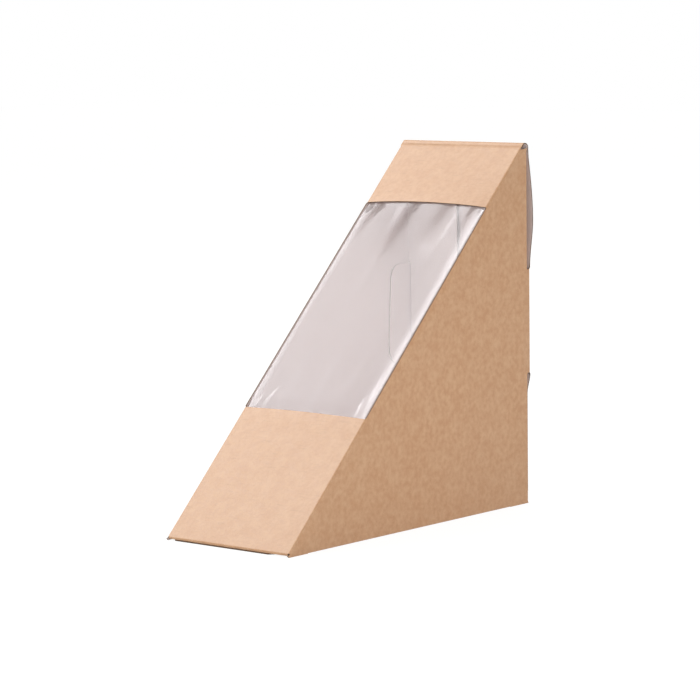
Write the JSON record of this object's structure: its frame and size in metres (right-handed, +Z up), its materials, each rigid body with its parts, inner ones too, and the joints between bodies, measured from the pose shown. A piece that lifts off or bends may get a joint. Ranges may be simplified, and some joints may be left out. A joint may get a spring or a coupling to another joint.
{
  "type": "sandwich box",
  "caption": "Triangular takeaway sandwich box of folded kraft board with a clear film window in its sloping face and a closing flap locked by ears at the back.",
  "frame": {"origin": "on the surface the box stands on, under the middle of its width and of its length from front fold to the closing flap's bow", "axes": "+X across the width, to the right when facing the window; +Y from the front fold to the back; +Z up"},
  "size_m": [0.051, 0.1276, 0.1212],
  "materials": {
    "kraft_board": "uncoated kraft outside, matt white lamination inside",
    "clear_film": "clear glossy film"
  },
  "bodies": {
    "box": {"carton": "kraft_board", "window_film": "clear_film"},
    "flap": {"closing_flap": "kraft_board"}
  },
  "joints": [
    {"name": "closing_flap_hinge", "type": "hinge", "parent": "box", "child": "flap", "pos_m": [0, 0.05788, 0.12103], "axis": [1, 0, 0], "range_deg": [0, 135]}
  ]
}
